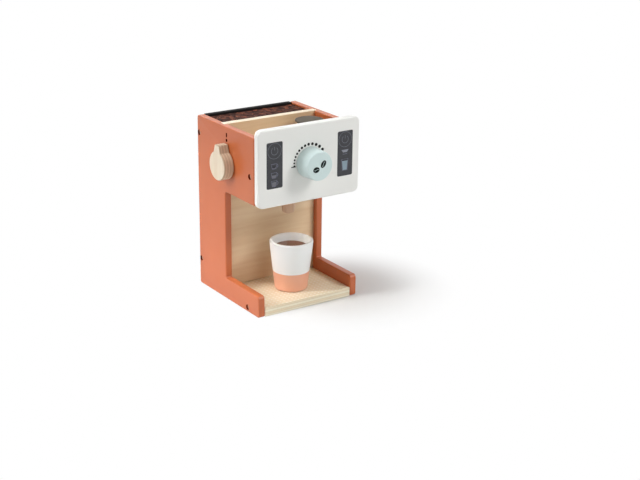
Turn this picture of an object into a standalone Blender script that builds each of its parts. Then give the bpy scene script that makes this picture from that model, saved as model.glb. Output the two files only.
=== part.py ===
"""Wooden toy coffee maker: two C-shaped side panels carry every board, knob and plate.

Metres, +Z up. The front faces -Y and +X is to the right of someone who stands before it.
The origin is the middle of the panels' footprint, on the surface that the toy stands on.
"""
import math

import bmesh
import bpy
from mathutils import Matrix, Vector

# Driving dimensions of the body
BODY_WIDTH = 0.159
BODY_DEPTH = 0.158
PANEL_HEIGHT = 0.245
PANEL_THICKNESS = 0.010
BAY_DEPTH = 0.085
LOWER_ARM_HEIGHT = 0.0305
UPPER_ARM_HEIGHT = 0.091
FASCIA_THICKNESS = 0.010
FASCIA_RISE = 0.0115
FASCIA_DROP = 0.0025

# Boards between the panels
BASE_THICKNESS = 0.013
WALL_SETBACK = 0.0085
WALL_THICKNESS = 0.0105
BACK_THICKNESS = 0.008
BEAN_PLATE_THICKNESS = 0.005
BEAN_PLATE_RECESS = 0.003
POD_FLOOR_THICKNESS = 0.006
UNDERSIDE_THICKNESS = 0.006
UNDERSIDE_INSET = 0.002
RAIL_DEPTH = 0.021
RAIL_HEIGHT = 0.015
HOUSING_DEPTH = 0.005
WALL_GROOVE_PLAY = 0.001

# Fits
GAP = 0.0003
RUNNING_GAP = 0.0005
OVERRUN = 0.004
BOARD_EDGE = 0.0008

# Side bolts
BOLT_HEAD_RADIUS = 0.0036
BOLT_HEAD_HEIGHT = 0.0018
BOLT_SHAFT_RADIUS = 0.00175
BOLT_LENGTH = 0.030
COUNTERBORE_DEPTH = 0.0042
BACK_BOLT_DROP = 0.024
BACK_BOLT_RISE = 0.038
BACK_BOLT_SETBACK = 0.005
BASE_BOLT_SETBACK = 0.0285

# Knobs and the screws and washers that hold them
BREW_AXIS_DROP = 0.0405
BREW_KNOB_DEPTH = 0.024
STEAM_AXIS_DROP = 0.051
STEAM_WALL_CLEARANCE = 0.0145
STEAM_KNOB_THICKNESS = 0.015
KNOB_SCREW_RADIUS = 0.002
KNOB_SCREW_GRIP = 0.012
KNOB_SCREW_HEAD_RADIUS = 0.00375
KNOB_SCREW_HEAD_HEIGHT = 0.0025
WASHER_RADIUS = 0.0045
WASHER_THICKNESS = 0.001
AXLE_SPACE = 0.0012

# Wood screws of the fascia and the spout
WOOD_SCREW_RADIUS = 0.00175
WOOD_SCREW_HEAD_RADIUS = 0.0035
WOOD_SCREW_HEAD_HEIGHT = 0.002
WOOD_SCREW_BITE = 0.0075

# Spout, and the cup that stands below it
SPOUT_SETBACK = 0.0514
SPOUT_LENGTH = 0.0345
CUP_HEIGHT = 0.070
CUP_SETBACK = 0.0456
CUP_X = 0.0014

# Planes and places that follow from the sizes above
HALF_WIDTH = BODY_WIDTH / 2
INNER_HALF = HALF_WIDTH - PANEL_THICKNESS
HOUSED_HALF = INNER_HALF + HOUSING_DEPTH
FRONT_Y = -BODY_DEPTH / 2
REAR_Y = BODY_DEPTH / 2
FASCIA_REAR_Y = FRONT_Y + FASCIA_THICKNESS
COLUMN_Y = FRONT_Y + BAY_DEPTH
WALL_Y = COLUMN_Y + WALL_SETBACK
WALL_REAR_Y = WALL_Y + WALL_THICKNESS
BACK_Y = REAR_Y - BACK_THICKNESS
BAY_TOP_Z = PANEL_HEIGHT - UPPER_ARM_HEIGHT
UNDERSIDE_Z = BAY_TOP_Z + UNDERSIDE_INSET
UNDERSIDE_TOP_Z = UNDERSIDE_Z + UNDERSIDE_THICKNESS
BREW_AXIS_Z = PANEL_HEIGHT - BREW_AXIS_DROP
STEAM_AXIS_Z = PANEL_HEIGHT - STEAM_AXIS_DROP
STEAM_AXIS_Y = WALL_Y - STEAM_WALL_CLEARANCE
POD_FLOOR_Z = BREW_AXIS_Z + WASHER_RADIUS + AXLE_SPACE
POD_FLOOR_TOP_Z = POD_FLOOR_Z + POD_FLOOR_THICKNESS
RAIL_TOP_Z = BREW_AXIS_Z - WASHER_RADIUS - AXLE_SPACE
RAIL_Z = RAIL_TOP_Z - RAIL_HEIGHT
RAIL_REAR_Y = FASCIA_REAR_Y + GAP + RAIL_DEPTH
BEAN_PLATE_TOP_Z = PANEL_HEIGHT - BEAN_PLATE_RECESS
BEAN_PLATE_Z = BEAN_PLATE_TOP_Z - BEAN_PLATE_THICKNESS
SPOUT_Y = FRONT_Y + SPOUT_SETBACK
CUP_Y = FRONT_Y + CUP_SETBACK
BACK_BOLT_Y = REAR_Y - BACK_BOLT_SETBACK

# Colours as seen, in sRGB
TERRACOTTA = (0.84, 0.50, 0.34)
WHITE = (0.90, 0.90, 0.88)
MINT = (0.74, 0.86, 0.83)
PALE_WOOD = (0.83, 0.70, 0.53)
PLYWOOD = (0.86, 0.76, 0.60)
SIDE_KNOB_WOOD = (0.80, 0.62, 0.42)
BEAN_BROWN = (0.30, 0.17, 0.10)
BLACK = (0.07, 0.06, 0.06)
POD_GREY = (0.36, 0.35, 0.33)
COFFEE_BROWN = (0.36, 0.20, 0.10)
STEEL = (0.62, 0.62, 0.62)

# Facets on round pieces
FINE_STEPS = 48
MEDIUM_STEPS = 32
SMALL_STEPS = 12
CORNER_STEPS = 5

for item in list(bpy.data.objects):
    bpy.data.objects.remove(item)

parts = bpy.data.collections.new("toy_coffee_maker")
cutters = bpy.data.collections.new("cutters")
bpy.context.scene.collection.children.link(parts)
bpy.context.scene.collection.children.link(cutters)


def linear(channel):
    """The linear value of one sRGB channel."""
    if channel <= 0.04045:
        return channel / 12.92
    return ((channel + 0.055) / 1.055) ** 2.4


def finish(obj, colour, roughness, metallic=0.0):
    """Gives a piece its own material."""
    material = bpy.data.materials.new(obj.name)
    material.use_nodes = True
    shader = material.node_tree.nodes["Principled BSDF"]
    shader.inputs["Base Color"].default_value = (*[linear(c) for c in colour], 1.0)
    shader.inputs["Roughness"].default_value = roughness
    shader.inputs["Metallic"].default_value = metallic
    obj.data.materials.clear()
    obj.data.materials.append(material)
    return obj


def placed(obj, collection, location=(0, 0, 0), rotation=(0, 0, 0)):
    """Links an object to its collection at its place."""
    collection.objects.link(obj)
    obj.location = location
    obj.rotation_euler = rotation
    bpy.context.view_layer.update()
    return obj


def smooth(obj):
    """Shades the round stretches of a mesh smooth and keeps its corners."""
    obj.data.shade_smooth()
    obj.data.set_sharp_from_angle(angle=math.radians(35))


def round_edges(obj, radius, segments=2):
    """Rounds every edge that turns a corner."""
    bevel = obj.modifiers.new("rounded_edges", "BEVEL")
    bevel.width = radius
    bevel.segments = segments
    bevel.limit_method = "ANGLE"
    bevel.angle_limit = math.radians(35)


def cut(obj, cutter):
    """Takes a cutter's shape out of a piece."""
    boolean = obj.modifiers.new("cut_" + cutter.name, "BOOLEAN")
    boolean.operation = "DIFFERENCE"
    boolean.solver = "EXACT"
    boolean.object = cutter


def hide_cutter(obj):
    """Marks an object as a cutter."""
    obj.hide_render = True
    obj.display_type = "WIRE"
    return obj


def box(name, low, high, collection=parts):
    """A box between two opposite corners, with its origin at its middle."""
    size = [b - a for a, b in zip(low, high)]
    middle = [(a + b) / 2 for a, b in zip(low, high)]
    shape = bmesh.new()
    bmesh.ops.create_cube(shape, size=1.0, matrix=Matrix.Diagonal((*size, 1.0)))
    mesh = bpy.data.meshes.new(name)
    shape.to_mesh(mesh)
    shape.free()
    return placed(bpy.data.objects.new(name, mesh), collection, middle)


def box_cutter(name, low, high):
    """A box that cuts."""
    return hide_cutter(box(name, low, high, cutters))


def round_cutter(name, start, end, radius, steps=SMALL_STEPS):
    """A cylinder that cuts from one point to another."""
    line = Vector(end) - Vector(start)
    shape = bmesh.new()
    bmesh.ops.create_cone(
        shape, cap_ends=True, segments=steps, radius1=radius, radius2=radius, depth=line.length)
    mesh = bpy.data.meshes.new(name)
    shape.to_mesh(mesh)
    shape.free()
    turn = Vector((0, 0, 1)).rotation_difference(line).to_euler()
    middle = (Vector(start) + Vector(end)) / 2
    return hide_cutter(placed(bpy.data.objects.new(name, mesh), cutters, middle, turn))


def rounded_outline(corners, steps=CORNER_STEPS):
    """Points of a closed outline whose corners (x, y, radius) become arcs; a radius of 0 stays a point."""
    points = []
    for index, (x, y, radius) in enumerate(corners):
        corner = Vector((x, y))
        if radius == 0:
            points.append(corner)
            continue
        before = (Vector(corners[index - 1][:2]) - corner).normalized()
        after = (Vector(corners[(index + 1) % len(corners)][:2]) - corner).normalized()
        half_angle = before.angle(after) / 2
        centre = corner + (before + after).normalized() * (radius / math.sin(half_angle))
        first = corner + before * (radius / math.tan(half_angle)) - centre
        last = corner + after * (radius / math.tan(half_angle)) - centre
        sweep = first.angle_signed(last)
        for step in range(steps + 1):
            turn = Matrix.Rotation(-sweep * step / steps, 2)
            points.append(centre + turn @ first)
    return points


def slab(name, outline, thickness, location, rotation):
    """A flat outline in local XY, made thick evenly on both sides, as a closed mesh."""
    curve = bpy.data.curves.new(name + "_outline", "CURVE")
    curve.dimensions = "2D"
    curve.fill_mode = "BOTH"
    curve.extrude = thickness / 2
    spline = curve.splines.new("POLY")
    spline.points.add(len(outline) - 1)
    for point, (x, y) in zip(spline.points, outline):
        point.co = (x, y, 0, 1)
    spline.use_cyclic_u = True
    drawn = placed(bpy.data.objects.new(name + "_outline", curve), cutters, location, rotation)
    depsgraph = bpy.context.evaluated_depsgraph_get()
    mesh = bpy.data.meshes.new_from_object(drawn.evaluated_get(depsgraph))
    mesh.name = name
    shape = bmesh.new()
    shape.from_mesh(mesh)
    bmesh.ops.remove_doubles(shape, verts=shape.verts, dist=GAP / 30)
    flat = math.radians(1)
    bmesh.ops.dissolve_limit(shape, angle_limit=flat, verts=shape.verts, edges=shape.edges)
    bmesh.ops.recalc_face_normals(shape, faces=shape.faces)
    shape.to_mesh(mesh)
    shape.free()
    solid = bpy.data.objects.new(name, mesh)
    solid.matrix_world = drawn.matrix_world
    parts.objects.link(solid)
    bpy.data.objects.remove(drawn)
    bpy.context.view_layer.update()
    return solid


def turned(name, profile, steps, location=(0, 0, 0), rotation=(0, 0, 0)):
    """A turned piece: a profile of (radius, height) that runs down its outer side, spun about local Z."""
    mesh = bpy.data.meshes.new(name)
    mesh.from_pydata([(r, 0, z) for r, z in profile], [(i, i + 1) for i in range(len(profile) - 1)], [])
    obj = placed(bpy.data.objects.new(name, mesh), parts, location, rotation)
    spin = obj.modifiers.new("turned", "SCREW")
    spin.axis = "Z"
    spin.steps = steps
    spin.render_steps = steps
    spin.use_smooth_shade = True
    spin.use_merge_vertices = True
    spin.merge_threshold = GAP / 30
    return obj


def arc(centre, radius, start_deg, end_deg, steps=CORNER_STEPS):
    """Points on an arc in a turned profile."""
    points = []
    for step in range(steps + 1):
        angle = math.radians(start_deg + (end_deg - start_deg) * step / steps)
        points.append((centre[0] + radius * math.cos(angle), centre[1] + radius * math.sin(angle)))
    return points


def screw_profile(head_radius, head_height, shaft_radius, length):
    """A pan head above local Z = 0 and a pointed shaft below it."""
    edge = head_height / 3
    return [
        (0, head_height),
        (head_radius - edge, head_height),
        (head_radius, head_height - edge),
        (head_radius, 0),
        (shaft_radius, 0),
        (shaft_radius, shaft_radius - length),
        (0, -length),
    ]


def screw(name, head_radius, head_height, shaft_radius, length, location, rotation):
    """A screw with a hexagon socket, standing on its seat at local Z = 0."""
    profile = screw_profile(head_radius, head_height, shaft_radius, length)
    body = turned(name, profile, SMALL_STEPS, location, rotation)
    hexagon_sides = 6
    socket_depth = head_height * 0.6
    outward = body.matrix_world.to_3x3() @ Vector((0, 0, 1))
    floor = body.location + outward * (head_height - socket_depth)
    mouth = body.location + outward * (head_height + OVERRUN)
    cut(body, round_cutter(name + "_socket", floor, mouth, head_radius / 2, hexagon_sides))
    return finish(body, BLACK, 0.4, 0.8)


FACE_LEFT = (math.pi / 2, 0, -math.pi / 2)
FACE_FRONT = (math.pi / 2, 0, 0)
FACE_UP = (0, 0, 0)


def outward_turn(side):
    """Turns local Z to the outside of a side panel."""
    return (math.pi / 2, 0, side * math.pi / 2)


def bolt_places():
    """Where the side bolts enter, as name, Y, Z and the board that each one reaches."""
    return [
        ("back_top", BACK_BOLT_Y, PANEL_HEIGHT - BACK_BOLT_DROP, "back_panel"),
        ("back_low", BACK_BOLT_Y, BACK_BOLT_RISE, "back_panel"),
        ("rail", (FASCIA_REAR_Y + GAP + RAIL_REAR_Y) / 2, (RAIL_Z + RAIL_TOP_Z) / 2, "front_rail"),
        ("base", FRONT_Y + BASE_BOLT_SETBACK, BASE_THICKNESS / 2, "base_board"),
    ]


def side_panel(name, side):
    """A C-shaped panel with rounded edges, housed on its inner face for the boards between the two."""
    foot_radius = 0.003
    top_radius = 0.004
    arm_radius = 0.005
    hidden_radius = 0.002
    notch_top_radius = 0.004
    notch_low_radius = 0.0015
    edge_radius = 0.0016
    arm_end_y = FASCIA_REAR_Y + GAP
    outline = rounded_outline([
        (REAR_Y, 0, foot_radius),
        (REAR_Y, PANEL_HEIGHT, top_radius),
        (arm_end_y, PANEL_HEIGHT, hidden_radius),
        (arm_end_y, BAY_TOP_Z, hidden_radius),
        (COLUMN_Y, BAY_TOP_Z, notch_top_radius),
        (COLUMN_Y, LOWER_ARM_HEIGHT, notch_low_radius),
        (FRONT_Y, LOWER_ARM_HEIGHT, arm_radius),
        (FRONT_Y, 0, foot_radius),
    ])
    middle_x = side * (HALF_WIDTH - PANEL_THICKNESS / 2)
    panel = slab(name, outline, PANEL_THICKNESS, (middle_x, 0, 0), (math.pi / 2, 0, math.pi / 2))
    round_edges(panel, edge_radius)
    housings = {
        "wall": (WALL_Y - WALL_GROOVE_PLAY, WALL_REAR_Y, BASE_THICKNESS, PANEL_HEIGHT + OVERRUN),
        "bean_plate": (WALL_REAR_Y, BACK_Y, BEAN_PLATE_Z, BEAN_PLATE_TOP_Z),
        "pod_floor": (FASCIA_REAR_Y, WALL_Y, POD_FLOOR_Z, POD_FLOOR_TOP_Z),
        "underside": (FASCIA_REAR_Y, WALL_Y, UNDERSIDE_Z, UNDERSIDE_TOP_Z),
    }
    for label, (y_low, y_high, z_low, z_high) in housings.items():
        inner = side * (INNER_HALF - OVERRUN)
        floor = side * (HOUSED_HALF + GAP)
        low = (min(inner, floor), y_low - GAP, z_low - GAP)
        high = (max(inner, floor), y_high + GAP, z_high + GAP)
        cut(panel, box_cutter(f"{name}_{label}_housing", low, high))
    finish(panel, TERRACOTTA, 0.45)
    return panel


def fascia():
    """The white front with rounded corners, bored for the knob's axle and blind for its two screws."""
    corner_radius = 0.008
    edge_radius = 0.002
    low_z = BAY_TOP_Z - FASCIA_DROP
    high_z = PANEL_HEIGHT + FASCIA_RISE
    outline = rounded_outline([
        (-HALF_WIDTH, low_z, corner_radius),
        (HALF_WIDTH, low_z, corner_radius),
        (HALF_WIDTH, high_z, corner_radius),
        (-HALF_WIDTH, high_z, corner_radius),
    ])
    plate = slab("fascia", outline, FASCIA_THICKNESS, (0, FRONT_Y + FASCIA_THICKNESS / 2, 0), FACE_FRONT)
    round_edges(plate, edge_radius, 3)
    front = (0, FRONT_Y - OVERRUN, BREW_AXIS_Z)
    rear = (0, FASCIA_REAR_Y + OVERRUN, BREW_AXIS_Z)
    cut(plate, round_cutter("fascia_axle_bore", front, rear, KNOB_SCREW_RADIUS + RUNNING_GAP))
    return finish(plate, WHITE, 0.35)


def base_board():
    """The plywood base, whose front part is the tray."""
    half = INNER_HALF - GAP
    board = box("base_board", (-half, FRONT_Y, 0), (half, BACK_Y - GAP, BASE_THICKNESS))
    round_edges(board, BOARD_EDGE, 1)
    return finish(board, PLYWOOD, 0.55)


def centre_board():
    """The upright board that closes the bay and divides the top, housed in both panels."""
    half = HOUSED_HALF
    board = box("centre_board", (-half, WALL_Y, BASE_THICKNESS + GAP), (half, WALL_REAR_Y, PANEL_HEIGHT))
    round_edges(board, BOARD_EDGE, 1)
    return finish(board, PALE_WOOD, 0.55)


def back_panel():
    """The plain panel between the side panels at the rear."""
    board = box("back_panel", (GAP - INNER_HALF, BACK_Y, 0), (INNER_HALF - GAP, REAR_Y, PANEL_HEIGHT))
    round_edges(board, BOARD_EDGE, 1)
    return finish(board, BLACK, 0.5)


def bean_plate():
    """The plate with the bean print, set below the tops of the panels."""
    low = (-HOUSED_HALF, WALL_REAR_Y + GAP, BEAN_PLATE_Z)
    return finish(box("bean_plate", low, (HOUSED_HALF, BACK_Y - GAP, BEAN_PLATE_TOP_Z)), BEAN_BROWN, 0.4)


def pod_floor():
    """The floor of the open compartment at the top."""
    low = (-HOUSED_HALF, FASCIA_REAR_Y + GAP, POD_FLOOR_Z)
    return finish(box("pod_floor", low, (HOUSED_HALF, WALL_Y - GAP, POD_FLOOR_TOP_Z)), PALE_WOOD, 0.55)


def underside_plate():
    """The plate that closes the upper box from below and carries the spout."""
    low = (-HOUSED_HALF, FASCIA_REAR_Y + GAP, UNDERSIDE_Z)
    return finish(box("underside_plate", low, (HOUSED_HALF, WALL_Y - GAP, UNDERSIDE_TOP_Z)), PALE_WOOD, 0.55)


def front_rail():
    """The rail across the back of the fascia."""
    low = (GAP - INNER_HALF, FASCIA_REAR_Y + GAP, RAIL_Z)
    return finish(box("front_rail", low, (INNER_HALF - GAP, RAIL_REAR_Y, RAIL_TOP_Z)), PALE_WOOD, 0.6)


def side_bolts(panels, boards):
    """Bolts through each panel into the boards, sunk in counterbores."""
    for side, side_name in ((-1, "left"), (1, "right")):
        for label, y, z, board in bolt_places():
            name = f"bolt_{side_name}_{label}"
            seat_x = side * (HALF_WIDTH - COUNTERBORE_DEPTH)
            outside = (side * (HALF_WIDTH + OVERRUN), y, z)
            tip = (seat_x - side * (BOLT_LENGTH + RUNNING_GAP), y, z)
            shaft_hole = round_cutter(name + "_hole", outside, tip, BOLT_SHAFT_RADIUS + GAP)
            seat = (seat_x, y, z)
            head_hole = round_cutter(name + "_counterbore", outside, seat, BOLT_HEAD_RADIUS + GAP, 16)
            cut(panels[side], head_hole)
            cut(panels[side], shaft_hole)
            cut(boards[board], shaft_hole)
            location = (seat_x + side * GAP, y, z)
            screw(name, BOLT_HEAD_RADIUS, BOLT_HEAD_HEIGHT, BOLT_SHAFT_RADIUS, BOLT_LENGTH,
                  location, outward_turn(side))


def knob_fixing(name, location, rotation, wall):
    """A screw that turns with its knob and the washer under its head, from the inside of a wall."""
    seat = WASHER_THICKNESS + 2 * GAP
    length = seat + wall + RUNNING_GAP + KNOB_SCREW_GRIP
    inner_radius = KNOB_SCREW_RADIUS + GAP
    washer = turned(f"{name}_washer", [
        (inner_radius, GAP + WASHER_THICKNESS),
        (WASHER_RADIUS, GAP + WASHER_THICKNESS),
        (WASHER_RADIUS, GAP),
        (inner_radius, GAP),
        (inner_radius, GAP + WASHER_THICKNESS),
    ], MEDIUM_STEPS, location, rotation)
    finish(washer, STEEL, 0.35, 1.0)
    inward = washer.matrix_world.to_3x3() @ Vector((0, 0, 1))
    head_place = Vector(location) + inward * seat
    screw(f"{name}_screw", KNOB_SCREW_HEAD_RADIUS, KNOB_SCREW_HEAD_HEIGHT, KNOB_SCREW_RADIUS, length,
          head_place, rotation)


def brew_knob():
    """The round mint knob on the fascia, slightly tapered, with a rounded rim and a blind bore behind."""
    base_radius = 0.021
    face_radius = 0.0198
    rim_radius = 0.002
    bore_radius = KNOB_SCREW_RADIUS + GAP
    bore_end = KNOB_SCREW_GRIP + RUNNING_GAP
    profile = [(0, BREW_KNOB_DEPTH)]
    profile += arc((face_radius - rim_radius, BREW_KNOB_DEPTH - rim_radius), rim_radius, 90, 0)
    profile += [(base_radius, 0), (bore_radius, 0), (bore_radius, bore_end), (0, bore_end)]
    location = (0, FRONT_Y - RUNNING_GAP, BREW_AXIS_Z)
    finish(turned("brew_knob", profile, FINE_STEPS, location, FACE_FRONT), MINT, 0.35)
    knob_fixing("brew_knob", (0, FASCIA_REAR_Y, BREW_AXIS_Z), (-math.pi / 2, 0, 0), FASCIA_THICKNESS)


def steam_knob(panel):
    """The wooden knob on the left panel: a disc with a tapered pointer on top."""
    disc_radius = 0.0198
    pointer_length = 0.0285
    tip_width = 0.0098
    root_width = 0.0166
    tip_radius = 0.0015
    root_radius = 0.003
    edge_radius = 0.0012
    root_angle = math.asin(root_width / 2 / disc_radius)
    rim_steps = 40
    root_height = disc_radius * math.cos(root_angle)
    corners = [
        (-root_width / 2, root_height, root_radius),
        (-tip_width / 2, pointer_length, tip_radius),
        (tip_width / 2, pointer_length, tip_radius),
        (root_width / 2, root_height, root_radius),
    ]
    fillet_share = 1.3
    clear = root_angle + math.asin(root_radius * fillet_share / disc_radius)
    for step in range(rim_steps + 1):
        angle = clear + (2 * math.pi - 2 * clear) * step / rim_steps
        corners.append((disc_radius * math.sin(angle), disc_radius * math.cos(angle), 0))
    centre_x = -HALF_WIDTH - RUNNING_GAP - STEAM_KNOB_THICKNESS / 2
    place = (centre_x, STEAM_AXIS_Y, STEAM_AXIS_Z)
    knob = slab("steam_knob", rounded_outline(corners), STEAM_KNOB_THICKNESS, place, FACE_LEFT)
    round_edges(knob, edge_radius)
    back_x = -HALF_WIDTH
    bore_end = back_x - 2 * RUNNING_GAP - KNOB_SCREW_GRIP
    cut(knob, round_cutter("steam_knob_bore", (back_x, STEAM_AXIS_Y, STEAM_AXIS_Z),
                           (bore_end, STEAM_AXIS_Y, STEAM_AXIS_Z), KNOB_SCREW_RADIUS + GAP))
    smooth(knob)
    finish(knob, SIDE_KNOB_WOOD, 0.5)
    outside = (-HALF_WIDTH - OVERRUN, STEAM_AXIS_Y, STEAM_AXIS_Z)
    inside = (OVERRUN - INNER_HALF, STEAM_AXIS_Y, STEAM_AXIS_Z)
    cut(panel, round_cutter("steam_knob_panel_bore", outside, inside, KNOB_SCREW_RADIUS + RUNNING_GAP))
    inner_face = (-INNER_HALF, STEAM_AXIS_Y, STEAM_AXIS_Z)
    knob_fixing("steam_knob", inner_face, (math.pi / 2, 0, math.pi / 2), PANEL_THICKNESS)


def fascia_screws(front, rail):
    """Two wood screws from the rail into the back of the fascia."""
    spacing_share = 0.58
    rail_middle_z = (RAIL_Z + RAIL_TOP_Z) / 2
    length = RAIL_DEPTH + GAP + WOOD_SCREW_BITE
    for side, label in ((-1, "left"), (1, "right")):
        x = side * INNER_HALF * spacing_share
        head = (x, RAIL_REAR_Y + GAP, rail_middle_z)
        tip = (x, head[1] - length - RUNNING_GAP, rail_middle_z)
        hole = round_cutter(f"fascia_screw_{label}_hole", (x, RAIL_REAR_Y + OVERRUN, rail_middle_z), tip,
                            WOOD_SCREW_RADIUS + GAP)
        cut(rail, hole)
        cut(front, hole)
        screw(f"fascia_screw_{label}", WOOD_SCREW_HEAD_RADIUS, WOOD_SCREW_HEAD_HEIGHT, WOOD_SCREW_RADIUS,
              length, head, (-math.pi / 2, 0, 0))


def spout(plate):
    """The turned spout under the upper box, held by a wood screw from above."""
    top_radius = 0.0118
    mouth_radius = 0.0082
    rim_radius = 0.0022
    bite = WOOD_SCREW_BITE * 2
    bore_radius = WOOD_SCREW_RADIUS + GAP
    bore_end = -bite - RUNNING_GAP
    length = UNDERSIDE_THICKNESS + 2 * GAP + bite
    profile = [(0, bore_end), (bore_radius, bore_end), (bore_radius, 0), (top_radius, 0)]
    profile += arc((mouth_radius - rim_radius, rim_radius - SPOUT_LENGTH), rim_radius, 0, -90)
    profile += [(0, -SPOUT_LENGTH)]
    finish(turned("spout", profile, MEDIUM_STEPS, (0, SPOUT_Y, UNDERSIDE_Z - GAP)), PALE_WOOD, 0.5)
    cut(plate, round_cutter("spout_screw_hole", (0, SPOUT_Y, UNDERSIDE_TOP_Z + OVERRUN),
                            (0, SPOUT_Y, UNDERSIDE_Z - OVERRUN), bore_radius))
    screw("spout_screw", WOOD_SCREW_HEAD_RADIUS, WOOD_SCREW_HEAD_HEIGHT, WOOD_SCREW_RADIUS, length,
          (0, SPOUT_Y, UNDERSIDE_TOP_Z + GAP), FACE_UP)


def coffee_pod():
    """The grey pod that stands in the top compartment: a tapered body under a wide flat rim."""
    rim_radius = 0.020
    rim_height = 0.003
    height = 0.027
    neck_radius = 0.0165
    foot_radius = 0.0125
    foot_round = 0.002
    side_gap = 0.0095
    wall_gap = 0.0125
    rim_round = rim_height / 2
    profile = [(0, height)]
    profile += arc((rim_radius - rim_round, height - rim_round), rim_round, 90, -90)
    profile += [(neck_radius, height - rim_height)]
    profile += arc((foot_radius - foot_round, foot_round), foot_round, 0, -90)
    profile += [(0, 0)]
    place = (INNER_HALF - side_gap - rim_radius, WALL_Y - wall_gap - rim_radius, POD_FLOOR_TOP_Z + GAP)
    finish(turned("coffee_pod", profile, FINE_STEPS, place), POD_GREY, 0.45)


def cup_and_coffee():
    """The tapered cup on the tray and the coffee disc that fills it almost to the rim."""
    foot_radius = 0.0228
    rim_radius = 0.0302
    foot_round = 0.0025
    wall = 0.005
    bore_radius = 0.0228
    coffee_depth = 0.010
    coffee_thickness = 0.005
    lip = wall / 2
    coffee_top = CUP_HEIGHT - coffee_depth
    bore_floor = coffee_top - coffee_thickness - GAP
    place = (CUP_X, CUP_Y, BASE_THICKNESS + GAP)
    profile = [(0, bore_floor), (bore_radius, bore_floor), (bore_radius, coffee_top)]
    profile += arc((rim_radius - lip, CUP_HEIGHT - lip), lip, 180, 0)
    profile += arc((foot_radius - foot_round, foot_round), foot_round, 0, -90)
    profile += [(0, 0)]
    finish(turned("cup", profile, FINE_STEPS, place), WHITE, 0.4)
    disc_radius = bore_radius - GAP
    disc = [
        (0, coffee_top),
        (disc_radius, coffee_top),
        (disc_radius, bore_floor + GAP),
        (0, bore_floor + GAP),
    ]
    finish(turned("cup_coffee", disc, FINE_STEPS, place), COFFEE_BROWN, 0.5)


left = side_panel("left_side_panel", -1)
right = side_panel("right_side_panel", 1)
front = fascia()
base = base_board()
centre_board()
back = back_panel()
bean_plate()
pod_floor()
underside = underside_plate()
rail = front_rail()
side_bolts({-1: left, 1: right}, {"back_panel": back, "front_rail": rail, "base_board": base})
brew_knob()
steam_knob(left)
fascia_screws(front, rail)
spout(underside)
coffee_pod()
cup_and_coffee()
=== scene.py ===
"""Toy coffee maker for a studio picture: painted panels, printed front, plywood and turned pieces."""

import bmesh
import bpy
import numpy as np
from mathutils import Matrix, Vector


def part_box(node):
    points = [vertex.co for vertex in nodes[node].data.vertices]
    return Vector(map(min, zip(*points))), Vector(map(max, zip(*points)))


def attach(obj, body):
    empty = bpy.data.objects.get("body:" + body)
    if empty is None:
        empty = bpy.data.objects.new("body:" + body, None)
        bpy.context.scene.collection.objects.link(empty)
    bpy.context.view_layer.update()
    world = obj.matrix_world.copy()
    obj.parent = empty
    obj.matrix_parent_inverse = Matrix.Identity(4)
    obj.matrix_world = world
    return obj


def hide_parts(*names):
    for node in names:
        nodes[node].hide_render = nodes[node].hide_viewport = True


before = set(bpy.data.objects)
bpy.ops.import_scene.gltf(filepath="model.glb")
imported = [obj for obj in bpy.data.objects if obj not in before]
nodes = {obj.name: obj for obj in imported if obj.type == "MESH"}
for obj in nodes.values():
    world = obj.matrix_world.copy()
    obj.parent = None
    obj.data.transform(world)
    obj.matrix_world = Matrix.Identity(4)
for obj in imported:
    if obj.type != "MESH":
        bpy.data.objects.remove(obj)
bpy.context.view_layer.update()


# Side panels: two C-shaped boards of wood with rounded edges, sprayed in terracotta over a sealer.
# The spray leaves a fine orange-peel skin. The walls of the bolts' counterbores carry painted shade: a dark
# red paint that stands for the shade in them.
class Socket:
    """One output of a node; sums on it become Math nodes."""

    def __init__(self, home, output):
        self.home = home
        self.output = output

    def sum(self, operation, *values):
        return self.home.node("Math", {"operation": operation}, dict(enumerate(values)))

    def __add__(self, other):
        return self.sum("ADD", self, other)

    def __radd__(self, other):
        return self.sum("ADD", other, self)

    def __sub__(self, other):
        return self.sum("SUBTRACT", self, other)

    def __rsub__(self, other):
        return self.sum("SUBTRACT", other, self)

    def __mul__(self, other):
        return self.sum("MULTIPLY", self, other)

    def __rmul__(self, other):
        return self.sum("MULTIPLY", other, self)

    def __truediv__(self, other):
        return self.sum("DIVIDE", self, other)

    def __rtruediv__(self, other):
        return self.sum("DIVIDE", other, self)

    def __abs__(self):
        return self.sum("ABSOLUTE", self)

    def fract(self):
        return self.sum("FRACT", self)

    def floor(self):
        return self.sum("FLOOR", self)

    def sine(self):
        return self.sum("SINE", self)

    def root(self):
        return self.sum("SQRT", self)

    def either(self, other):
        return self.sum("MAXIMUM", self, other)

    def fade(self, low, high):
        """0 below low and 1 above high, with a soft step between; turned round where low is above high."""
        inputs = {0: self, 1: low, 2: high, 3: 0.0, 4: 1.0}
        if low > high:
            inputs.update({1: high, 2: low, 3: 1.0, 4: 0.0})
        return self.home.node("MapRange", {"interpolation_type": "SMOOTHSTEP"}, inputs)


class Shading:
    """A tree of nodes, and the one method that adds a node to it."""

    def __init__(self, tree):
        self.tree = tree

    def node(self, kind, settings=None, inputs=None, output=0):
        """Adds one node: its settings first, then the values or links of its sockets."""
        made = self.tree.nodes.new("ShaderNode" + kind)
        for key, value in (settings or {}).items():
            setattr(made, key, value)
        for key, value in (inputs or {}).items():
            if isinstance(value, Socket):
                self.link(value, made.inputs[key])
            else:
                made.inputs[key].default_value = value
        return Socket(self, made.outputs[output])

    def link(self, value, entry):
        self.tree.links.new(value.output, entry)


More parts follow.
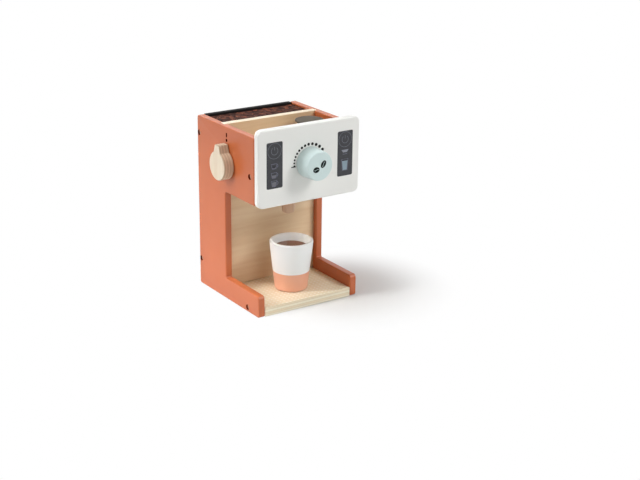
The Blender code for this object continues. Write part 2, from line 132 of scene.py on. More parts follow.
class Finish(Shading):
    """A paint, print, varnish or metal: one Principled shader and the nodes that vary it."""

    def __init__(self, name, roughness, metallic=0.0, coat=0.0, specular=0.5):
        self.material = bpy.data.materials.new(name)
        self.material.use_nodes = True
        super().__init__(self.material.node_tree)
        self.shader = self.tree.nodes["Principled BSDF"]
        for key, value in (("Roughness", roughness), ("Metallic", metallic), ("Coat Weight", coat),
                           ("Coat Roughness", 0.2), ("Specular IOR Level", specular)):
            self.shader.inputs[key].default_value = value
        self.at = self.node("TexCoord", output="Object")
        self.x, self.y, self.z = self.parts(self.at)

    def parts(self, vector):
        """The three numbers of a vector."""
        return [self.node("SeparateXYZ", None, {"Vector": vector}, output=axis) for axis in "XYZ"]

    def noise(self, scale, detail=2.0, stretch=(1, 1, 1), shift=(0, 0, 0), distortion=0.0):
        """Noise of about 0 to 1 on the piece's own coordinates, with scale in waves per metre."""
        place = self.node("Mapping", None, {"Vector": self.at, "Scale": stretch, "Location": shift})
        inputs = {"Vector": place, "Scale": scale, "Detail": detail, "Distortion": distortion}
        return self.node("TexNoise", None, inputs)

    def blend(self, first, second, share):
        """A colour between two colours, each of them plain or linked."""
        inputs = {0: share}
        for key, colour in ((6, first), (7, second)):
            inputs[key] = colour if isinstance(colour, Socket) else (*colour, 1.0)
        return self.node("Mix", {"data_type": "RGBA"}, inputs, output=2)

    def colour(self, value):
        self.link(value, self.shader.inputs["Base Color"])

    def rough(self, lowest, wander, noise):
        """A roughness that wanders up from lowest with a noise of 0 to 1."""
        self.link(lowest + noise * wander, self.shader.inputs["Roughness"])

    def relief(self, height, depth, strength):
        """A bump whose full height is depth, in metres."""
        inputs = {"Height": height, "Distance": depth, "Strength": strength}
        self.link(self.node("Bump", None, inputs, output="Normal"), self.shader.inputs["Normal"])


def srgb(*channels):
    """The linear colour of sRGB values from 0 to 255."""
    values = np.array(channels) / 255
    return tuple(np.where(values <= 0.04045, values / 12.92, ((values + 0.055) / 1.055) ** 2.4).tolist())


def painted(name, colour, deep, roughness, coat=0.0, specular=0.5):
    """Sprayed paint: cloudy change of tone, orange-peel skin, and a roughness that wanders a little."""
    cloud_share, skin_share = 0.55, 0.12
    coarse_share, fine_share = 0.7, 0.3
    finish = Finish(name, roughness, coat=coat, specular=specular)
    cloud = finish.noise(scale=14, detail=3)
    skin = finish.noise(scale=620)
    deepness = cloud.fade(0.3, 0.75) * cloud_share + skin.fade(0.35, 0.8) * skin_share
    finish.colour(finish.blend(colour, deep, deepness))
    finish.rough(roughness - 0.05, wander=0.1, noise=finish.noise(scale=60, detail=3))
    peel = skin * coarse_share + finish.noise(scale=2100) * fine_share
    finish.relief(peel, depth=0.00006, strength=0.35)
    return finish


def welded_copy(node, body, finish, corner=50, flat_board=False):
    """A CAD node's mesh with its loose triangles welded.

    Edges that turn by less than corner degrees shade as one surface, and sharper ones stay. On a flat
    board the triangles of each face are joined as well, so that no sliver of one shades unevenly.
    """
    weld, same_face = 0.000002, 0.1
    mesh = nodes[node].data.copy()
    loose = bmesh.new()
    loose.from_mesh(mesh)
    bmesh.ops.remove_doubles(loose, verts=loose.verts, dist=weld)
    if flat_board:
        bmesh.ops.dissolve_limit(loose, angle_limit=np.radians(same_face),
                                 verts=loose.verts, edges=loose.edges)
    loose.to_mesh(mesh)
    loose.free()
    piece = bpy.data.objects.new(node + "_skin", mesh)
    bpy.context.scene.collection.objects.link(piece)
    mesh.shade_smooth()
    mesh.set_sharp_from_angle(angle=np.radians(corner))
    even = piece.modifiers.new("even_normals", "WEIGHTED_NORMAL")
    even.keep_sharp = True
    mesh.materials.clear()
    mesh.materials.append(finish.material)
    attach(piece, body)
    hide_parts(node)
    return piece


terracotta = painted("terracotta_paint", srgb(191, 99, 51), srgb(184, 90, 44), roughness=0.40, coat=0.25)
# painted shade: the counterbores' walls get this dark red paint in place of the shade that falls in them
painted_shade = painted("painted_shade_in_bores", srgb(108, 36, 16), srgb(94, 29, 12), roughness=0.75, specular=0.0)

# the faces with the painted shade: those around the bolts and inside the boards, which mirror each other
board_inside, board_outside = 0.0700, 0.0794
bore_margin = 0.0005
bolt_spots = [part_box("bolt_left_" + label) for label in ("back_top", "back_low", "rail", "base")]
for hand in ("left", "right"):
    panel = welded_copy(hand + "_side_panel", "machine", terracotta, flat_board=True)
    panel.data.materials.append(painted_shade.material)
    middles = np.empty(len(panel.data.polygons) * 3)
    panel.data.polygons.foreach_get("center", middles)
    x, y, z = middles.reshape(-1, 3).T
    in_board = (abs(x) > board_inside) & (abs(x) < board_outside)
    bored = np.zeros(len(x), int)
    for low, high in bolt_spots:
        away = np.hypot(y - (low.y + high.y) / 2, z - (low.z + high.z) / 2)
        bored |= in_board & (away < (high.y - low.y) / 2 + bore_margin)
    panel.data.polygons.foreach_set("material_index", bored)


# Fascia: a white board with round corners, sprayed satin, and bored once for the knob's axle.
# Its front carries two dark printed panels, the dial's dots and a short start mark.
white = painted("white_paint", srgb(238, 238, 234), srgb(233, 233, 229), roughness=0.34)
welded_copy("fascia", "machine", white)
fascia_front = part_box("fascia")[0].y
knob_low, knob_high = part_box("brew_knob")
dial_height = knob_low.z / 2 + knob_high.z / 2
print_sunk = 0.00008
print_lift = 0.00004


def filled_prints(name, outlines, lift, body, finish):
    """Thin flat prints: each has a rim at its back, a rim at its front and one middle point a side.

    An outline is (points, middle, right, up): its points lie in metres along right and up.
    """
    corners, faces, start = [], [], 0
    for points, middle, right, up in outlines:
        middle, right, up = np.array(middle), np.array(right), np.array(up)
        out = np.cross(right, up)
        rim = middle + points[:, :1] * right + points[:, 1:] * up
        corners.append(np.vstack([rim - out * print_sunk, rim + out * lift,
                                  middle - out * print_sunk, middle + out * lift]))
        count = len(points)
        ring = np.arange(count)
        after = (ring + 1) % count
        back_middle, front_middle = np.full(count, 2 * count), np.full(count, 2 * count + 1)
        faces += (start + np.stack([ring, after, after + count, ring + count], 1)).tolist()
        faces += (start + np.stack([ring + count, after + count, front_middle], 1)).tolist()
        faces += (start + np.stack([after, ring, back_middle], 1)).tolist()
        start += 2 * count + 2
    printed(name, np.vstack(corners), faces, body, finish)


def line_prints(name, lines, width, lift, body, finish):
    """Thin printed lines: a flat strip carried along each path, square to it, and closed at its ends.

    A line is (points, middle, right, up, closed): the strip's four corners at each point make a tube.
    """
    corners, faces, start = [], [], 0
    for points, middle, right, up, closed in lines:
        middle, right, up = np.array(middle), np.array(right), np.array(up)
        out = np.cross(right, up)
        if closed:
            along = np.roll(points, -1, 0) - np.roll(points, 1, 0)
        else:
            along = np.gradient(points, axis=0)
        along /= np.linalg.norm(along, axis=1)[:, None]
        aside = np.stack([-along[:, 1], along[:, 0]], 1) * width / 2
        rows = []
        for shift, level in ((aside, -print_sunk), (aside, lift), (-aside, lift), (-aside, -print_sunk)):
            flat = points + shift
            rows.append(middle + flat[:, :1] * right + flat[:, 1:] * up + out * level)
        corners.append(np.stack(rows, 1).reshape(-1, 3))
        count = len(points)
        steps = np.arange(count if closed else count - 1)
        after = (steps + 1) % count
        for edge in range(4):
            beside = (edge + 1) % 4
            quad = [4 * steps + edge, 4 * after + edge, 4 * after + beside, 4 * steps + beside]
            faces += (start + np.stack(quad, 1)[:, ::-1]).tolist()
        if not closed:
            last = start + 4 * (count - 1)
            faces += [[start + 3, start + 2, start + 1, start], [last, last + 1, last + 2, last + 3]]
        start += 4 * count
    printed(name, np.vstack(corners), faces, body, finish)


def printed(name, corners, faces, body, finish):
    """Makes a print's mesh, with its faces turned out and its ink on it."""
    mesh = bpy.data.meshes.new(name)
    mesh.from_pydata(corners.tolist(), [], faces)
    shape = bmesh.new()
    shape.from_mesh(mesh)
    bmesh.ops.recalc_face_normals(shape, faces=shape.faces)
    shape.to_mesh(mesh)
    shape.free()
    mesh.materials.append(finish.material)
    piece = bpy.data.objects.new(name, mesh)
    bpy.context.scene.collection.objects.link(piece)
    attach(piece, body)


def ellipse(across, tall, count=40, turn=0.0):
    """Points of an ellipse: (half across cos t, half tall sin t), turned by an angle in degrees."""
    t = np.arange(count) * 2 * np.pi / count
    x, y = across / 2 * np.cos(t), tall / 2 * np.sin(t)
    c, s = np.cos(np.radians(turn)), np.sin(np.radians(turn))
    return np.stack([c * x - s * y, s * x + c * y], 1)


def rounded_rectangle(across, tall, corner, count=8):
    """Points of a rectangle whose corners are quarter circles."""
    turns = np.radians(np.linspace(0, 90, count)[None, :] + np.arange(4)[:, None] * 90)
    signs = np.array([(1, 1), (-1, 1), (-1, -1), (1, -1)])[:, None, :]
    middles = signs * (np.array([across, tall]) / 2 - corner)
    arcs = np.stack([np.cos(turns), np.sin(turns)], -1) * corner
    return (middles + arcs).reshape(-1, 2)


def ink(name, colour, roughness, specular=0.5):
    """Screen-printed ink: an even colour with a faint mottle and a fine tooth."""
    veil, veil_tone = 0.1, 0.012
    finish = Finish(name, roughness, specular=specular)
    mottle = finish.noise(scale=260, detail=3).fade(0.3, 0.8)
    veiled = tuple((1 - veil) * channel + veil_tone for channel in colour)
    finish.colour(finish.blend(colour, veiled, mottle))
    finish.rough(roughness - 0.04, wander=0.08, noise=finish.noise(scale=900))
    finish.relief(finish.noise(scale=2600), depth=0.00002, strength=0.3)
    return finish


# right and up on the machine's front, and the two dark panels
front = ((1, 0, 0), (0, 0, 1))
panel_height = 0.2080
panel_places = {"left": (-0.0545, fascia_front, panel_height), "right": (0.0563, fascia_front, panel_height)}
dark_panel = rounded_rectangle(across=0.0245, tall=0.0620, corner=0.0021)
charcoal = ink("charcoal_ink", srgb(41, 42, 48), 0.45)
filled_prints("fascia_dark_panels", [(dark_panel, place, *front) for place in panel_places.values()],
              print_lift, "machine", charcoal)

# dial: thirteen dots whose steps and sizes grow clockwise, and a bar where they start
dot_count = 13
dial_radius, dial_start, dial_sweep = 0.0244, 185, 149.2
dot_steps = np.cumsum(np.linspace(9.6, 16.4, dot_count - 1))
dot_turns = np.radians(dial_start - np.concatenate([[0], dot_steps * dial_sweep / dot_steps[-1]]))
dots = []
for turn, size in zip(dot_turns, np.linspace(0.0025, 0.0047, dot_count)):
    place = (dial_radius * np.cos(turn), fascia_front, dial_height + dial_radius * np.sin(turn))
    dots.append((ellipse(size, size, 20), place, *front))
black_ink = ink("black_ink", srgb(16, 15, 16), 0.6, specular=0.15)
filled_prints("dial_dots", dots, print_lift, "machine", black_ink)
bar_drop, bar_side, bar_lift = 0.0032, -0.0253, 0.00003
start_bar = rounded_rectangle(across=0.0074, tall=0.0013, corner=0.0004, count=4)
filled_prints("dial_start_bar", [(start_bar, (bar_side, fascia_front, dial_height - bar_drop), *front)],
              bar_lift, "machine", black_ink)


# Icons on the dark panels: a power ring on each, three filling cups at the left, and at the right
# a cup over a saucer and a glass of water. All are thin printed lines and patches of plain ink.
grey_ink = ink("grey_ink", srgb(98, 99, 108), 0.42)
dusk_ink = ink("dusk_ink", srgb(108, 108, 128), 0.42)
blue_ink = ink("blue_ink", srgb(133, 153, 165), 0.42)
pale_ink = ink("pale_ink", srgb(134, 137, 148), 0.42)
icon_lift = 0.00008
patch_lift = icon_lift * 0.9
thin_line, power_line = 0.0006, 0.0007
ring_height, ring_across = 0.2272, 0.0206
power_radius, power_from, power_to = 0.0050, 125, 415
power_stem = np.array([(0, 0.0010), (0, 0.0034), (0, 0.0058)])
rings, symbols, strokes, drinks = [], [], [], []
for panel_x, panel_y, _ in panel_places.values():
    ring_place = (panel_x, panel_y, ring_height)
    turns = np.radians(np.linspace(power_from, power_to, 30))
    rings.append((ellipse(ring_across, ring_across, 56), ring_place, *front, True))
    symbols.append((np.stack([np.cos(turns), np.sin(turns)], 1) * power_radius, ring_place, *front, False))
    symbols.append((power_stem, ring_place, *front, False))


def cup_outline(across, tall, foot_share=0.72):
    """A cup seen from the side: straight rim, leaning sides, and a foot rounded by quarter circles."""
    foot = across * foot_share
    corner = tall * 0.22
    turns = np.radians(np.linspace(180, 270, 9))
    left = np.stack([np.cos(turns), np.sin(turns)], 1) * corner + corner - (foot / 2, tall / 2)
    right = left[::-1] * (-1, 1)
    rim_left, rim_right = (-across / 2, tall / 2), (across / 2, tall / 2)
    return np.vstack([[rim_left], left, right, [rim_right]])


def handle(across, tall):
    """A cup's handle: nearly half a circle that leaves the cup's right side."""
    radius, rise, root = tall * 0.30, tall * 0.06, across * 0.44
    turns = np.radians(np.linspace(78, -78, 12))
    return np.stack([root + np.cos(turns) * radius, np.sin(turns) * radius + rise], 1)


cup_across, cup_shift = 0.0088, 0.0008
drink_width, drink_size, drink_drop = 0.86, 0.9, 0.44
for tall, height, full in ((0.0066, 0.2068, 0.2), (0.0070, 0.1948, 0.5), (0.0076, 0.1836, 0.8)):
    place = (panel_places["left"][0] - cup_shift, fascia_front, height)
    strokes.append((cup_outline(cup_across, tall), place, *front, True))
    strokes.append((handle(cup_across, tall), place, *front, False))
    drink = cup_outline(cup_across * drink_width, tall * full) - (0, tall * (1 - full) * drink_drop)
    drinks.append((drink * drink_size, place, *front))
right_x = panel_places["right"][0]
small_cup_place = (right_x, fascia_front, 0.2112)
small_cup = cup_outline(0.0116, 0.0036, foot_share=0.62)
saucer = np.array([(-0.0036, -0.0042), (0, -0.0042), (0.0036, -0.0042)])
strokes.append((saucer, small_cup_place, *front, False))
glass_place = (right_x, fascia_front, 0.1922)
glass = np.array([(-0.0053, 0.0078), (-0.0039, -0.0078), (0.0039, -0.0078), (0.0053, 0.0078)])
strokes.append((glass, glass_place, *front, True))
water = glass * (0.84, 0.80) - (0, 0.0009)
line_prints("panel_rings", rings, thin_line, icon_lift, "machine", grey_ink)
line_prints("panel_symbols", symbols, power_line, icon_lift, "machine", grey_ink)
line_prints("panel_strokes", strokes, thin_line, icon_lift, "machine", dusk_ink)
filled_prints("panel_drinks", drinks, patch_lift, "machine", grey_ink)
filled_prints("panel_small_cup", [(small_cup, small_cup_place, *front)], patch_lift,
              "machine", pale_ink)
filled_prints("panel_water", [(water, glass_place, *front)], patch_lift, "machine", blue_ink)


# Front knob: turned wood, sprayed mint, slightly tapered, with a rounded rim.
# Two coffee beans are printed on its face, each with its crease left open.
mint = painted("mint_paint", srgb(210, 228, 227), srgb(205, 223, 222), roughness=0.36)
knob = welded_copy("brew_knob", "brew_knob", mint)
face_setback, face_depth = 0.0001, 0.003
spots = np.empty(len(knob.data.vertices) * 3)
knob.data.vertices.foreach_get("co", spots)
spots = spots.reshape(-1, 3)
knob_front = spots[:, 1].min()
spots[spots[:, 1] < knob_front + face_depth, 1] += face_setback
knob.data.vertices.foreach_set("co", spots.ravel())
knob.data.update()
bean_ink = ink("bean_ink", srgb(18, 30, 30), 0.6, specular=0.15)
mint_ink = ink("mint_ink", srgb(196, 214, 213), 0.4)
bean_lift, crease_lift, crease_line = 0.00005, 0.00008, 0.0005
crease_reach, crease_bend = 0.33, 0.0006
beans, creases = [], []
for bean_x, bean_z, long, wide, turn in ((-0.0060, 0.2004, 0.0098, 0.0078, 4),
                                         (0.0051, 0.2068, 0.0108, 0.0072, 56)):
    place = (bean_x, knob_front + face_setback, bean_z)
    beans.append((ellipse(long, wide, 40, turn), place, *front))
    run = np.linspace(-1, 1, 21)
    c, s = np.cos(np.radians(turn)), np.sin(np.radians(turn))
    u, v = run * long * crease_reach, crease_bend * np.sin(run * np.pi)
    creases.append((np.stack([c * u - s * v, s * u + c * v], 1), place, *front, False))
filled_prints("knob_beans", beans, bean_lift, "brew_knob", bean_ink)
line_prints("knob_bean_creases", creases, crease_line, crease_lift, "brew_knob", mint_ink)


# Centre board: plywood with pale veneer faces and fine straight grain, which stands between the panels.
# It is sawn to size, its edges are eased, and the plies show along its top under a matt varnish.
def plywood(name, light, dark, grain, layers, ply, dull=0.5, edge=None, contrast=0.45):
    """Veneer grain along one axis, and glued plies across another where an edge lies open.

    grain and layers are the axes 0 to 2 of the grain and of the board's thickness; ply is one ply's
    thickness, edge the palest tone of the open edges, and contrast how much darker every other ply is.
    A solid stick has no plies: its ply is 0.
    """
    streak_share, band_share, fibre_share = 0.30, 0.45, 0.2
    glue_tone, glue_extra, end_fibre_share = 0.72, 0.15, 0.25
    finish = Finish(name, dull)
    stretch, fibre_stretch = [9.0, 9.0, 9.0], [60.0, 60.0, 60.0]
    stretch[grain], fibre_stretch[grain] = 0.55, 2.0
    streaks = finish.noise(26, 5, stretch, shift=(0.37, 0.11, 0.53), distortion=0.25)
    bands = finish.noise(5, 3, stretch, shift=(0.2, 0.6, 0.1), distortion=0.5)
    fibres = finish.noise(30, 3, fibre_stretch)
    darkness = streaks.fade(0.3, 0.72) * streak_share + bands.fade(0.3, 0.7) * band_share
    veneer = finish.blend(light, dark, darkness + fibres.fade(0.45, 0.8) * fibre_share)
    if ply:
        count = (finish.x, finish.y, finish.z)[layers] / ply
        every_other = (count.floor() * 0.5).fract() * 2
        glue = abs(count.fract() - 0.5).fade(0.41, 0.49)
        end_fibres = finish.noise(340, 3)
        plies = finish.blend(edge or light, dark, every_other * contrast + end_fibres * end_fibre_share)
        plies = finish.blend(plies, tuple(glue_tone * c for c in dark), glue * (contrast + glue_extra))
        facing = finish.parts(finish.node("TexCoord", output="Normal"))[layers]
        veneer = finish.blend(plies, veneer, abs(facing).fade(0.62, 0.8))
    finish.colour(veneer)
    finish.rough(dull - 0.06, wander=0.16, noise=fibres)
    finish.relief(fibres * 0.6 + streaks * 0.4, depth=0.00008, strength=0.35)
    return finish


board_veneer = plywood("board_veneer", srgb(232, 208, 174), srgb(214, 181, 140), grain=0, layers=1,
                       ply=0.0021, edge=srgb(250, 240, 220), contrast=0.25)
welded_copy("centre_board", "machine", board_veneer)


# Base board: paler plywood laid flat between the panels; its open front half is the tray.
# A grid of small white dots is printed on its top, and its plies show along the front edge.
tray = plywood("tray_veneer", srgb(240, 226, 197), srgb(226, 208, 173), grain=0, layers=2, ply=0.0032,
               edge=srgb(244, 236, 214), contrast=0.6)
dot_pitch, dot_radius, dot_edge, dot_cover = 0.0062, 0.0013, 0.0002, 0.75
across, deep = (tray.x / dot_pitch).fract() - 0.5, (tray.y / dot_pitch).fract() - 0.5
from_dot = (across * across + deep * deep).root() * dot_pitch
near_dot = from_dot.fade(dot_radius + dot_edge, dot_radius - dot_edge)
on_top = tray.z.fade(0.0127, 0.0129)
bare = Socket(tray, tray.shader.inputs["Base Color"].links[0].from_socket)
tray.colour(tray.blend(bare, srgb(250, 244, 232), near_dot * on_top * dot_cover))
welded_copy("base_board", "machine", tray)


# Inner boards: pod floor and underside plate are thin plywood, let into grooves in the panels.
# The rail behind the fascia is a plain stick of the same wood.
thin_veneer = plywood("thin_board_veneer", srgb(230, 206, 172), srgb(214, 182, 142), grain=0, layers=2,
                      ply=0.0020)
for inner_board in ("pod_floor", "underside_plate", "front_rail"):
    welded_copy(inner_board, "machine", thin_veneer)


# Back panel: a plain board between the side panels, painted matt black on all sides.
# It closes the machine behind the bean plate, and the back bolts run into its edges.
black = painted("black_paint", srgb(26, 23, 23), srgb(20, 18, 18), roughness=0.75, specular=0.12)
welded_copy("back_panel", "machine", black)


# Bean plate: a board let in below the top edge, printed all over with roasted coffee beans.
# The beans are shallow ovals in low relief that lie over each other in a loose grid.
plate_ink = ink("plate_ink", srgb(46, 20, 12), 0.7, specular=0.04)
welded_copy("bean_plate", "machine", plate_ink)
plate_low, plate_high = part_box("bean_plate")
dice = np.random.default_rng(11)
spacing, row_share, first_share, scatter = 0.0074, 0.86, 0.2, 0.32
side_gap = 0.0002
half_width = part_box("right_side_panel")[0].x - side_gap
rows_y = np.arange(plate_low.y + spacing * first_share, plate_high.y, spacing * row_share)
seats = np.array([(x + (row % 2) * spacing / 2, y) for row, y in enumerate(rows_y)
                  for x in np.arange(-half_width, half_width + spacing, spacing)])
seats += dice.uniform(-scatter, scatter, seats.shape) * spacing
dice.shuffle(seats)

# one bean: a middle point and four rings of sixteen points, as a disc of radius 1
bean_rings, bean_sides = 4, 16
ring = np.arange(bean_sides)
after = (ring + 1) % bean_sides
around = ring * 2 * np.pi / bean_sides
circle = np.stack([np.cos(around), np.sin(around)], 1)
radii = np.linspace(0, 1, bean_rings + 1)[1:]
unit = np.vstack([[(0, 0)], (radii[:, None, None] * circle).reshape(-1, 2)])
bean_faces = np.stack([np.zeros(bean_sides, int), 1 + ring, 1 + after], 1).tolist()
for inner in 1 + np.arange(bean_rings - 1) * bean_sides:
    outer = inner + bean_sides
    bean_faces += np.stack([inner + ring, outer + ring, outer + after, inner + after], 1).tolist()

# all beans: the disc stretched, turned and moved to each seat, domed by 1 minus its radius squared
bean_turns = dice.uniform(0, np.pi * 2, len(seats))
bean_lengths = dice.uniform(0.0046, 0.0058, len(seats))
bean_widths = bean_lengths * dice.uniform(0.60, 0.72, len(seats))
lowest, highest, dome_height, dome_sunk = 0.00002, 0.00030, 0.00042, 0.00016
u = unit[None, :, 0] * bean_lengths[:, None]
v = unit[None, :, 1] * bean_widths[:, None]
c, s = np.cos(bean_turns)[:, None], np.sin(bean_turns)[:, None]
dome = dome_height * (1 - (unit ** 2).sum(1))[None, :] - dome_sunk
z = plate_high.z + np.linspace(lowest, highest, len(seats))[:, None] + dome
spots = np.stack([seats[:, :1] + c * u - s * v, seats[:, 1:] + s * u + c * v, z], -1).reshape(-1, 3)
faces = [[index + bean * len(unit) for index in face] for bean in range(len(seats)) for face in bean_faces]
mesh = bpy.data.meshes.new("bean_print")
mesh.from_pydata(spots.tolist(), [], faces)
on_bean = mesh.uv_layers.new(name="bean")
corner_points = np.empty(len(mesh.loops), int)
mesh.loops.foreach_get("vertex_index", corner_points)
on_bean.data.foreach_set("uv", unit[corner_points % len(unit)].ravel())
tone = mesh.attributes.new("tone", "FLOAT", "POINT")
tones = np.repeat(dice.uniform(0, 1, len(seats)), len(unit))
tone.data.foreach_set("value", tones.astype(np.float32))
shape = bmesh.new()
shape.from_mesh(mesh)
for place, outward in (((half_width, 0, 0), (1, 0, 0)), ((-half_width, 0, 0), (-1, 0, 0)),
                       ((0, plate_low.y, 0), (0, -1, 0)), ((0, plate_high.y, 0), (0, 1, 0))):
    everything = list(shape.verts) + list(shape.edges) + list(shape.faces)
    bmesh.ops.bisect_plane(shape, geom=everything, plane_co=place, plane_no=outward, clear_outer=True)
shape.to_mesh(mesh)
shape.free()
mesh.shade_smooth()

roast = Finish("roasted_bean_ink", 0.6, specular=0.08)
run, side = roast.parts(roast.node("UVMap", {"uv_map": "bean"}, output="UV"))[:2]
bean_tone = roast.node("Attribute", {"attribute_name": "tone"}, output="Fac")
bend = (run * 3.0).sine() * 0.10
crease = abs(side - bend).fade(0.16, 0.05) * abs(run).fade(0.92, 0.8) * bean_tone.fade(0.80, 0.70)
rim = (run * run + side * side).fade(0.45, 1.0)
shine_side, shine_narrow, shine_short = 0.42, 5, 1.3
shine = ((side - shine_side) * (side - shine_side) * shine_narrow + run * run * shine_short).fade(0.55, 0.0)
shell = roast.blend(srgb(58, 28, 18), srgb(104, 54, 36), bean_tone.fade(0.25, 0.95))
shell = roast.blend(shell, srgb(168, 104, 74), shine * (0.12 + bean_tone * 0.32))
shell = roast.blend(shell, srgb(40, 18, 11), rim * 0.9)
shell = roast.blend(shell, srgb(28, 12, 7), crease)
roast.colour(shell)
roast.rough(0.52, wander=0.16, noise=roast.noise(scale=400, detail=3))
roast.relief(roast.noise(scale=900, detail=3), depth=0.00005, strength=0.4)
mesh.materials.append(roast.material)
bean_print = bpy.data.objects.new("bean_print", mesh)
bpy.context.scene.collection.objects.link(bean_print)
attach(bean_print, "machine")


# Spout: turned from a stick of pale wood, tapered towards its mouth, sanded and varnished.
# It is screwed up against the underside plate from inside.
spout_wood = plywood("spout_wood", srgb(208, 174, 146), srgb(188, 150, 120), grain=2, layers=0, ply=0)
welded_copy("spout", "machine", spout_wood, corner=60)


# Side knob: sawn from thick plywood, a disc with a tapered pointer; the plies show round its edge.
# It turns on a screw in the left panel, below a dot and a dash that are printed in dark red.
knob_ply = plywood("knob_plywood", srgb(224, 212, 192), srgb(204, 184, 156), grain=2, layers=0, ply=0.0021,
                   dull=0.46, edge=srgb(222, 204, 178), contrast=1.0)
welded_copy("steam_knob", "steam_knob", knob_ply)
panel_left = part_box("left_side_panel")[0].x
left_face = ((0, -1, 0), (0, 0, 1))
dot_height, dash_height = 0.2268, 0.2338
mark_dot = ellipse(0.0045, 0.0045, 24)
mark_dash = rounded_rectangle(across=0.0030, tall=0.0062, corner=0.0012, count=5)
rust_ink = ink("rust_ink", srgb(70, 22, 12), 0.8, specular=0.0)
filled_prints("side_knob_marks", [(mark_dot, (panel_left, 0, dot_height), *left_face),
                                  (mark_dash, (panel_left, 0, dash_height), *left_face)],
              print_lift, "machine", rust_ink)


# Screws and bolts: browned steel with socket heads, the bolts sunk in the panels' counterbores.
# Behind each knob's board lies a plain zinc washer.
steel_corner = 40
oxide = Finish("browned_steel", 0.42, metallic=0.6)
oxide.colour(oxide.blend(srgb(180, 132, 110), srgb(200, 152, 128), oxide.noise(scale=900, detail=3)))
oxide.rough(0.32, wander=0.2, noise=oxide.noise(scale=1500, detail=3))
oxide.relief(oxide.noise(scale=3000), depth=0.00002, strength=0.4)
zinc = Finish("zinc", 0.35, metallic=1.0)
zinc.colour(zinc.blend(srgb(176, 178, 180), srgb(150, 152, 156), zinc.noise(scale=700, detail=4)))
zinc.rough(0.28, wander=0.2, noise=zinc.noise(scale=1600, detail=3))
for name in nodes:
    if name.startswith(("bolt_", "fascia_screw", "spout_screw")):
        welded_copy(name, "machine", oxide, steel_corner)
    elif name.endswith("_washer"):
        welded_copy(name, "machine", zinc, steel_corner)
welded_copy("brew_knob_screw", "brew_knob", oxide, steel_corner)
welded_copy("steam_knob_screw", "steam_knob", oxide, steel_corner)


# Pod: turned wood sprayed dark grey, with a wide flat rim over a tapered body.
# It stands loose on the pod floor in the open top.
pod_grey = painted("pod_grey", srgb(79, 71, 60), srgb(71, 64, 54), roughness=0.65, specular=0.3)
welded_copy("coffee_pod", "coffee_pod", pod_grey, corner=60)


# Cup: turned wood, dipped salmon at the foot and sprayed white above, with a hard line between.
# A brown disc is glued in below the rim for the coffee.
cup_paint = Finish("cup_paint", 0.38)
dip_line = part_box("cup")[0].z + 0.0262
dip_edge = 0.0003
line_wander = cup_paint.noise(scale=90) * dip_edge
above = (cup_paint.z + line_wander).fade(dip_line, dip_line + dip_edge)
cloud = cup_paint.noise(scale=22, detail=3)
salmon = cup_paint.blend(srgb(238, 178, 148), srgb(233, 168, 138), cloud)
chalk = cup_paint.blend(srgb(243, 245, 244), srgb(238, 240, 239), cloud)
cup_paint.colour(cup_paint.blend(salmon, chalk, above))
cup_paint.rough(0.34, wander=0.1, noise=cup_paint.noise(scale=80, detail=3))
cup_paint.relief(cup_paint.noise(scale=650), depth=0.00005, strength=0.35)
welded_copy("cup", "cup", cup_paint, corner=60)
coffee = Finish("coffee_paint", 0.34)
froth = coffee.noise(scale=420, detail=4)
swirl = coffee.noise(scale=60, detail=3, distortion=1.2)
brew = coffee.blend(srgb(132, 86, 56), srgb(108, 66, 42), swirl)
coffee.colour(coffee.blend(brew, srgb(156, 108, 76), froth.fade(0.58, 0.8) * 0.5))
coffee.rough(0.3, wander=0.15, noise=froth)
coffee.relief(froth, depth=0.00006, strength=0.3)
welded_copy("cup_coffee", "cup", coffee)


# Floor: white paper that keeps the toy's shadow and runs out into plain white further off.
# The air around is white to the eye and in reflections, and gives the toy only a weak fill.
floor_reach, floor_cells, floor_drop = 3.0, 12, 0.0004
row = floor_cells + 1
lines = np.linspace(-floor_reach, floor_reach, row)
x, y = np.meshgrid(lines, lines)
spots = np.stack([x, y, np.full_like(x, -floor_drop)], -1).reshape(-1, 3)
cell = (np.arange(floor_cells)[:, None] * row + np.arange(floor_cells)[None, :]).ravel()
squares = np.stack([cell, cell + 1, cell + row + 1, cell + row], 1)
floor_mesh = bpy.data.meshes.new("floor")
floor_mesh.from_pydata(spots.tolist(), [], squares.tolist())
floor = bpy.data.objects.new("floor", floor_mesh)
bpy.context.scene.collection.objects.link(floor)
ray_kinds = ("Is Camera Ray", "Is Glossy Ray", "Is Transmission Ray")
paper = Finish("floor_paper", 0.9, specular=0.1)
paper.shader.inputs["Base Color"].default_value = (*srgb(232, 232, 231), 1.0)
camera_ray, glossy_ray, passing_ray = [paper.node("LightPath", output=kind) for kind in ray_kinds]
shadow_x, shadow_y, shadow_near, shadow_far = 0.08, -0.05, 0.05, 0.17
off_x, off_y = paper.x - shadow_x, paper.y - shadow_y
far = (off_x * off_x + off_y * off_y).root().fade(shadow_near, shadow_far)
paper_lift = paper.node("Emission", None, {"Strength": camera_ray * 0.05})
lit_paper = paper.node("AddShader", None, {0: Socket(paper, paper.shader.outputs[0]), 1: paper_lift})
plain_white = paper.node("Emission", None, {"Strength": 1.0})
share = far * (camera_ray + glossy_ray + passing_ray)
runout = paper.node("MixShader", None, {0: share, 1: lit_paper, 2: plain_white})
paper.link(runout, paper.tree.nodes["Material Output"].inputs[0])
floor_mesh.materials.append(paper.material)

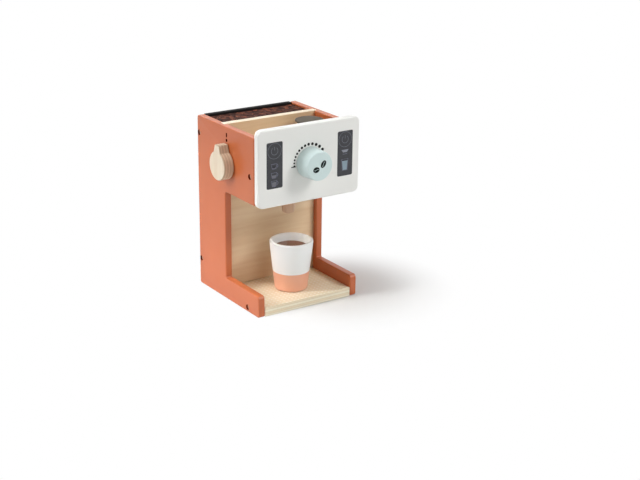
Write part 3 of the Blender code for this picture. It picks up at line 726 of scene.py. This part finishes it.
world = bpy.data.worlds.new("studio_air")
world.use_nodes = True
bpy.context.scene.world = world
air = Shading(world.node_tree)
camera_ray, glossy_ray, passing_ray = [air.node("LightPath", output=kind) for kind in ray_kinds]
seen = camera_ray.either(glossy_ray).either(passing_ray)
backdrop = air.tree.nodes["Background"]
backdrop.inputs["Color"].default_value = (1, 1, 1, 1)
strength = air.node("MapRange", None, {"Value": seen, "To Min": 0.08, "To Max": 1.0})
air.link(strength, backdrop.inputs["Strength"])


# Lamps: a small window light low at the left, which throws the shadow to the right, and five wide
# soft ones: at the left, above, behind, at the right front and low in front.
for name, place, target, size, spread, watts in (
    ("window_light", (-1.30, 0.33, 0.72), (-0.12, 0.03, -0.07), 0.4, 36, 0.80),
    ("side_light", (-1.20, -0.70, 0.60), (-0.08, 0, 0.10), 0.8, 180, 1.6),
    ("ceiling_light", (-0.55, 0.20, 1.50), (0, 0, 0.12), 1.0, 180, 13.2),
    ("back_light", (0.1, 1.3, 1.2), (0, 0, 0.12), 1.0, 180, 4.4),
    ("right_light", (0.9, -1.2, 1.3), (0, 0, 0.12), 0.8, 180, 16.5),
    ("front_light", (0.2, -1.70, 0.45), (0, 0, 0.14), 0.8, 180, 3.2),
):
    lamp = bpy.data.lights.new(name, "AREA")
    lamp.shape = "DISK"
    lamp.size = size
    lamp.spread = np.radians(spread)
    lamp.energy = watts
    holder = bpy.data.objects.new(name, lamp)
    holder.location = place
    holder.rotation_euler = (Vector(target) - Vector(place)).to_track_quat("-Z", "Y").to_euler()
    bpy.context.scene.collection.objects.link(holder)


# Camera: at the left front and a little above, as solved from the straight edges in the picture.
# It looks along yaw and pitch, tipped by a small roll, all in radians.
camera_place = (-0.9064, -1.4256, 0.6769)
yaw, pitch, roll = -0.6015, -0.3436, 0.013
ahead = Vector((-np.sin(yaw) * np.cos(pitch), np.cos(yaw) * np.cos(pitch), np.sin(pitch)))
level_right = Vector((np.cos(yaw), np.sin(yaw), 0))
level_up = level_right.cross(ahead)
right = level_right * np.cos(roll) + level_up * np.sin(roll)
up = level_up * np.cos(roll) - level_right * np.sin(roll)
camera = bpy.data.objects.new("camera", bpy.data.cameras.new("camera"))
bpy.context.scene.collection.objects.link(camera)
bpy.context.scene.camera = camera
camera.data.lens = 72.467
camera.data.clip_end = 30
camera.matrix_world = Matrix((*zip(right, up, -ahead, camera_place), (0, 0, 0, 1)))
bpy.context.scene.view_settings.view_transform = "Standard"
